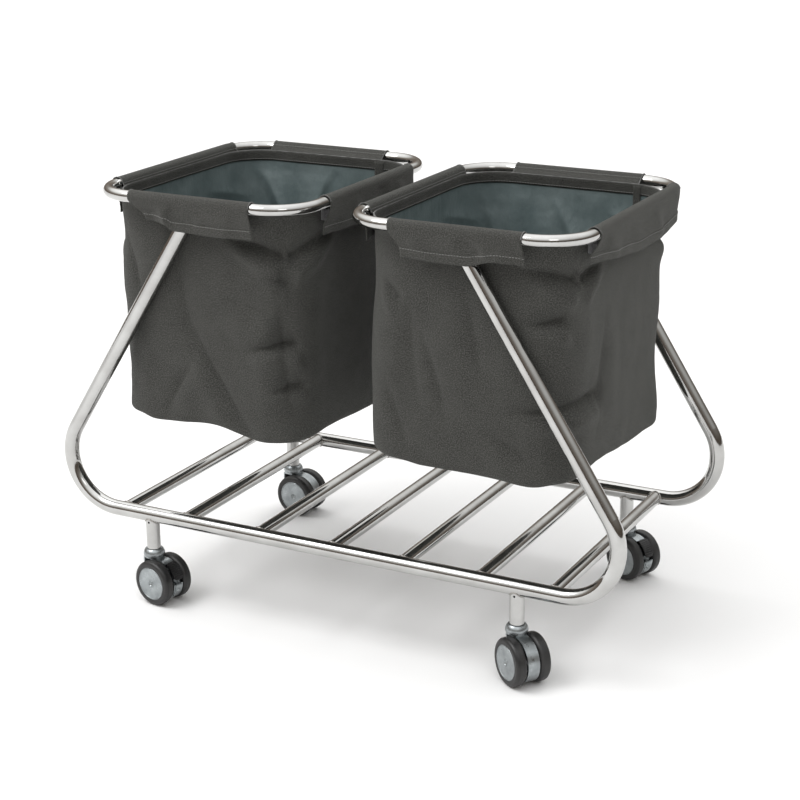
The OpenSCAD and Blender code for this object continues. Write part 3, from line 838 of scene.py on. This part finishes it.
def bag_tapes(bag, sleeves):
    """The hook tapes behind both ends of each flap, as one piece."""
    points, faces = [], []
    count = 0
    for sleeve in sleeves:
        for end, inward in zip(sleeve.hem_ends, (TAPE_INSET, -TAPE_INSET)):
            grid = tape_strip(sleeve, (end + inward) * MM)
            rows, columns = grid.shape[:2]
            behind = grid - normals_of(grid, False) * HOOK_TAPE
            points += [grid.reshape(-1, 3), behind.reshape(-1, 3)]
            half = rows * columns
            faces += quads(rows, columns, False, count)
            faces += [q[::-1] for q in quads(rows, columns, False, count + half)]
            edge = list(range(columns))
            edge += [i * columns + columns - 1 for i in range(1, rows)]
            edge += [(rows - 1) * columns + j for j in range(columns - 2, -1, -1)]
            edge += [i * columns for i in range(rows - 2, 0, -1)]
            for a, b in zip(edge, edge[1:] + edge[:1]):
                faces.append([count + b, count + a, count + a + half, count + b + half])
            count += 2 * half
    piece = make_piece(f"{bag.side}_bag_hook_tapes", np.concatenate(points), faces, hook_tape)
    return hang_up(piece, "hook_tape", f"{bag.side}_bag_tapes")


# ---------- Welds ----------


def weld_ring(path, seed):
    """A closed bead along a path, uneven as a hand weld is."""
    radii = 1.5 * MM * (1 + 0.22 * crumple(path, 0.0035, seed))
    return rings_along(np.concatenate([path, path[:1]]), np.append(radii, radii[0]), 8)[:-1], True


def frame_welds():
    """Beads where the rungs meet the rails and the stems meet them from below."""
    loops = []
    turn = np.linspace(0, 2 * math.pi, 49)[:-1]
    rail_low, rail_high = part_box("front_side_frame")
    rail_radius = (rail_high.y - rail_low.y) / 2
    rail_y = -(rail_high.y + rail_low.y) / 2
    rail_z = rail_low.z + rail_radius
    for index in range(1, RUNGS + 1):
        low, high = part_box(f"rung_{index}")
        x, radius = (low.x + high.x) / 2, (high.x - low.x) / 2
        for side in (-1, 1):
            up = radius * np.sin(turn)
            y = side * (rail_y - np.sqrt(rail_radius ** 2 - up ** 2))
            path = np.column_stack([x + radius * np.cos(turn), y, rail_z + up])
            loops.append(weld_ring(path, index * side))
    low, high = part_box("caster_stems")
    radius = (high.y - low.y) / 2 - rail_y  # the stems stand under the rails
    for seed, corner in enumerate(("front_left", "front_right", "back_left", "back_right")):
        low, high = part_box(f"{corner}_collar")
        middle = (low + high) / 2
        across = radius * np.sin(turn)
        z = rail_z - np.sqrt(rail_radius ** 2 - across ** 2)
        path = np.column_stack([middle.x + radius * np.cos(turn), middle.y + across, z])
        loops.append(weld_ring(path, seed + 20))
    piece = tube_piece("frame_welds", loops, weld_metal)
    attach(piece, "cart_frame")


# ---------- The two bags ----------

# Bottom edge heights in millimetres at places round the bag
LEFT_BOTTOM = [(-0.08, 298), (0.08, 302), (0.19, 297), (0.57, 304), (0.8, 287), (0.98, 289),
               (1.2, 297), (1.6, 290), (2.0, 292), (2.5, 298), (3.0, 291), (3.5, 298)]
RIGHT_BOTTOM = [(-0.06, 302), (0.14, 300), (0.31, 295), (0.69, 294), (0.85, 290), (1.0, 295),
                (1.22, 304), (1.72, 290), (1.95, 287), (2.5, 296), (3.0, 290), (3.5, 300)]
# Folds: from (u, h) to (u, h), width and depth in millimetres, and the share over which they end.
# A fold bows to one side, or to the other with that share below 0.
LEFT_FOLDS = [
    (0.66, 0.875, 0.965, 0.80, 11, 8, 0.08), (1.26, 0.885, 0.985, 0.80, 11, 7, 0.08),
    (0.76, 0.405, 1.02, 0.44, 10, 7.5, 0.10), (0.87, 0.23, 1.05, 0.262, 8, 5.5, 0.12),
    (0.86, 0.73, 1.0, 0.685, 10, 3.5, 0.15), (0.40, 0.52, 0.74, 0.03, 13, 4, -0.25),
    (0.46, 0.34, 0.27, 0.10, 12, 3, 0.25), (0.18, 0.03, 0.52, 0.045, 5, 3, 0.2),
    (1.75, 0.86, 2.02, 0.79, 11, 7, 0.1), (2.3, 0.87, 2.03, 0.79, 11, 6, 0.1),
    (2.6, 0.44, 2.95, 0.36, 12, 4, 0.12), (3.5, 0.5, 3.05, 0.33, 12, 4, 0.12),
    (3.3, 0.86, 3.02, 0.8, 11, 1.5, 0.3), (3.7, 0.87, 3.98, 0.81, 11, 3, 0.1),
    (0.36, 0.86, 0.44, 0.36, 26, 3.2, -0.2), (0.04, 0.84, 0.13, 0.58, 18, 3.4, -0.2),
    (0.62, 0.62, 0.90, 0.56, 20, 3.0, -0.2), (0.93, 0.72, 0.965, 0.18, 16, 4.0, -0.2),
]
RIGHT_FOLDS = [
    (0.80, 0.885, 1.06, 0.83, 10, 7, 0.08), (1.24, 0.875, 1.08, 0.83, 10, 6, 0.08),
    (0.83, 0.66, 1.01, 0.685, 10, 7, 0.12), (0.70, 0.31, 1.24, 0.345, 11, 7.5, 0.10),
    (0.06, 0.77, 0.19, 0.70, 8, 4, 0.2), (0.30, 0.60, 0.42, 0.28, 14, 3, 0.3),
    (0.2, 0.03, 0.75, 0.02, 5, 3, 0.2), (1.8, 0.87, 2.0, 0.8, 10, 6, 0.1),
    (2.3, 0.87, 2.03, 0.8, 11, 4, 0.1), (2.5, 0.5, 2.95, 0.42, 12, 4, 0.12),
    (3.5, 0.42, 3.06, 0.36, 12, 4, 0.12), (3.3, 0.86, 3.03, 0.8, 11, 1.5, 0.3),
    (0.22, 0.80, 0.27, 0.30, 24, 3.0, -0.2), (0.52, 0.80, 0.60, 0.42, 24, 3.2, -0.2),
    (0.10, 0.40, 0.20, 0.12, 20, 3.0, -0.2), (0.62, 0.22, 0.86, 0.10, 16, 3.4, -0.2),
    (1.30, 0.70, 1.24, 0.20, 20, 2.6, -0.2),
]
# Lumps: place (u, h), width, height and how far out, in millimetres
LEFT_LUMPS = [(0.5, 0.45, 110, 120, 5), (1.5, 0.45, 130, 130, 3), (2.5, 0.5, 120, 120, 5),
              (3.5, 0.4, 130, 120, 4), (0.02, 0.03, 60, 50, 3), (0.98, 0.33, 45, 26, 4)]
RIGHT_LUMPS = [(0.5, 0.42, 110, 120, 5), (1.5, 0.4, 130, 130, 3), (2.5, 0.5, 120, 120, 5),
               (3.5, 0.4, 130, 120, 3), (0.0, 0.8, 45, 70, -9), (0.97, 0.76, 38, 22, 5),
               (1.02, 0.27, 40, 24, 5), (2.0, 0.33, 50, 60, -5), (2.0, 0.03, 60, 40, 4)]
LEFT_LINING = [(2.95, 0.95, 2.72, 0.62, 24, 11, 0.3), (2.5, 0.95, 2.66, 0.6, 20, 10, 0.3),
               (2.2, 0.9, 2.35, 0.5, 18, 8, 0.3)]
RIGHT_LINING = [(2.6, 0.93, 2.4, 0.6, 22, 10, 0.3), (2.1, 0.78, 2.45, 0.62, 14, 9, 0.3),
                (3.0, 0.95, 2.85, 0.5, 20, 8, 0.3)]

left_bag = Bag("left", bottom=LEFT_BOTTOM, folds=LEFT_FOLDS, lumps=LEFT_LUMPS,
               lining_folds=LEFT_LINING, seed=3)
right_bag = Bag("right", bottom=RIGHT_BOTTOM, folds=RIGHT_FOLDS, lumps=RIGHT_LUMPS,
                lining_folds=RIGHT_LINING, seed=8)

# Sleeves, in millimetres: their ends on the tube and at the hem, then (a, length of the flap),
# the folds of the flap, and (a, how far its hem stands out)
SLEEVES = [
    Sleeve(
        left_bag, "front", ends=(-104.5, 107), hem_ends=(-76, 113),
        drops=[(-120, 30), (-70, 31), (-36, 33), (-24, 42), (40, 44), (120, 43)],
        folds=[(-44, 12, -30, 44, 7, 5), (-26, 10, 12, 30, 8, -5),
               (-70, 25, -60, 42, 10, -4), (60, 12, 70, 42, 16, 2)],
        lean=[(-110, -6), (-60, -4), (-36, 1), (-10, 1), (60, 1), (113, -1)],
    ),
    Sleeve(
        left_bag, "right", ends=(-130, 136), hem_ends=(-150, 140),
        drops=[(-160, 44), (-40, 47), (60, 45), (150, 44)],
        folds=[(-60, 8, -40, 44, 14, 3), (20, 8, 44, 44, 18, -3), (90, 8, 80, 44, 16, 3)],
        lean=[(-150, -4), (-100, 1), (100, 1), (150, -2)],
    ),
    Sleeve(
        left_bag, "back", ends=(-96, 117), hem_ends=(-99, 121),
        drops=[(-130, 43), (-36, 44), (-10, 37), (20, 36), (50, 43), (130, 43)],
        folds=[(22, 10, 30, 44, 8, 4), (-30, 12, -40, 42, 16, 2)],
        lean=[(-110, -2), (0, 1), (110, -1)],
    ),
    Sleeve(
        left_bag, "left", ends=(-174, 152), hem_ends=(-178, 156),
        drops=[(-180, 43), (-60, 46), (80, 44), (170, 43)],
        folds=[(-80, 8, -60, 44, 16, 3), (40, 8, 20, 44, 18, -3)],
        lean=[(-178, -3), (-100, 1), (70, 1), (120, -6), (150, -16)],
    ),
    Sleeve(
        right_bag, "front", ends=(-100.5, 104), hem_ends=(-80, 110),
        drops=[(-120, 38), (-70, 41), (-20, 43), (20, 43), (70, 32), (90, 33), (115, 36)],
        folds=[(12, 12, 44, 26, 8, -5), (40, 20, 92, 40, 9, 4), (-60, 12, -40, 40, 16, 2)],
        lean=[(-110, -5), (-60, 0), (20, 1), (80, 1), (110, -2)],
    ),
    Sleeve(
        right_bag, "right", ends=(-152, 176), hem_ends=(-172, 180),
        drops=[(-190, 36), (-150, 38), (-60, 47), (0, 54), (70, 52), (180, 44)],
        folds=[(-120, 10, -90, 42, 16, 3), (-40, 8, -20, 50, 16, -2), (60, 8, 80, 48, 18, 3)],
        lean=[(-172, -7), (-120, -1), (80, 2), (180, -4)],
    ),
    Sleeve(
        right_bag, "back", ends=(-110, 102), hem_ends=(-113, 105),
        drops=[(-120, 43), (-40, 43), (-14, 36), (20, 37), (50, 44), (120, 43)],
        folds=[(-24, 10, -30, 44, 8, 4), (40, 12, 30, 42, 16, 2)],
        lean=[(-110, -2), (0, 1), (110, -1)],
    ),
    Sleeve(
        right_bag, "left", ends=(-164, 152), hem_ends=(-168, 156),
        drops=[(-180, 43), (-60, 45), (80, 46), (170, 43)],
        folds=[(-90, 8, -70, 44, 16, 3), (30, 8, 50, 44, 18, -3)],
        lean=[(-168, -3), (-100, 1), (70, 1), (120, -6), (150, -16)],
    ),
]


def build_bag(bag, tape_u, tape_width):
    """Every cloth piece of one bag."""
    body = bag_canvas(bag)
    inner = bag_lining(bag)
    binding = seam_tape(bag, tape_u, tape_width)
    mine = [s for s in SLEEVES if s.bag is bag]
    made = [sleeve_piece(s) for s in mine]
    seams = bag_stitching(bag, [grid for _, grid in made])
    edges = bag_piping(bag, [grid for _, grid in made])
    tapes = bag_tapes(bag, mine)


# ---------- Studio ----------


LIGHT_AIM = Vector((0, 0, 0.4))
FLOOR_SIZE = 80.0
# Height of the gaze, from level to straight up, and the colour of the studio there
SKY = [(0.0, (0.07, 0.055, 0.045)), (0.14, (0.09, 0.075, 0.062)), (0.34, (0.18, 0.165, 0.15)),
       (0.5, (0.50, 0.50, 0.49)), (0.74, (0.78, 0.78, 0.78)), (1.0, (0.90, 0.90, 0.90))]
SKY_STRENGTH = 2.0
SKY_LEAN = -0.6  # how much dimmer it is to the right, and brighter to the left
CAMERA_AIM = Vector((0.0317, -0.0313, 0.3304))
CAMERA_TURN, CAMERA_TILT, CAMERA_ROLL = (math.radians(angle) for angle in (27.645, 18.255, -0.425))
CAMERA_REACH = 2.9
CAMERA_LENS = 83.77
SENSOR = 36.0


def make_floor():
    """Wide plain floor under the cart."""
    bpy.ops.mesh.primitive_plane_add(size=FLOOR_SIZE, location=(0, 0, 0))
    floor = bpy.context.object
    floor.name = "studio_floor"
    floor.data.materials.append(floor_finish())


def make_light(name, place, size, watts):
    """A rectangular lamp that faces the bags."""
    lamp = bpy.data.lights.new(name, "AREA")
    lamp.shape, lamp.size, lamp.size_y = "RECTANGLE", size[0], size[1]
    lamp.energy = watts
    holder = bpy.data.objects.new(name, lamp)
    holder.location = place
    holder.rotation_euler = (LIGHT_AIM - Vector(place)).to_track_quat("-Z", "Y").to_euler()
    bpy.context.scene.collection.objects.link(holder)


def make_world():
    """Sky of a studio: bright overhead, darker and warmer towards the horizon."""
    world = bpy.data.worlds.new("studio")
    bpy.context.scene.world = world
    world.use_nodes = True
    tree = world.node_tree
    back = tree.nodes["Background"]
    sky = tree.nodes.new("ShaderNodeTexCoord")
    split = tree.nodes.new("ShaderNodeSeparateXYZ")
    ramp = tree.nodes.new("ShaderNodeValToRGB")
    tree.links.new(sky.outputs["Generated"], split.inputs[0])
    tree.links.new(split.outputs["Z"], ramp.inputs["Fac"])
    tree.links.new(ramp.outputs["Color"], back.inputs["Color"])
    elements = ramp.color_ramp.elements
    for element, (position, colour) in zip(elements, (SKY[0], SKY[-1])):
        element.position = position
        element.color = (*colour, 1)
    for position, colour in SKY[1:-1]:
        elements.new(position).color = (*colour, 1)
    lean = tree.nodes.new("ShaderNodeMath")
    lean.operation = "MULTIPLY_ADD"
    lean.inputs[1].default_value, lean.inputs[2].default_value = SKY_LEAN, SKY_STRENGTH
    tree.links.new(split.outputs["X"], lean.inputs[0])
    tree.links.new(lean.outputs[0], back.inputs["Strength"])


def make_camera():
    """The photo's camera, as fitted to the frame's tubes and wheels."""
    level = math.cos(CAMERA_TILT)
    back = Vector((math.sin(CAMERA_TURN) * level, -math.cos(CAMERA_TURN) * level, math.sin(CAMERA_TILT)))
    data = bpy.data.cameras.new("camera")
    data.lens, data.sensor_width = CAMERA_LENS, SENSOR
    camera = bpy.data.objects.new("camera", data)
    camera.location = CAMERA_AIM + back * CAMERA_REACH
    facing = (-back).to_track_quat("-Z", "Y").to_matrix() @ Matrix.Rotation(CAMERA_ROLL, 3, "Z")
    camera.rotation_euler = facing.to_euler()
    bpy.context.scene.collection.objects.link(camera)
    bpy.context.scene.camera = camera


dress_frame()
build_bag(left_bag, tape_u=2.196, tape_width=17 * MM)
build_bag(right_bag, tape_u=2.145, tape_width=13 * MM)
frame_welds()
make_floor()
make_world()
make_light("key", place=(-1.4, -1.5, 2.9), size=(1.6, 1.2), watts=36)
make_light("fill", place=(1.8, -2.2, 2.4), size=(0.9, 0.9), watts=4)
make_camera()
bpy.context.scene.view_settings.view_transform = "Standard"
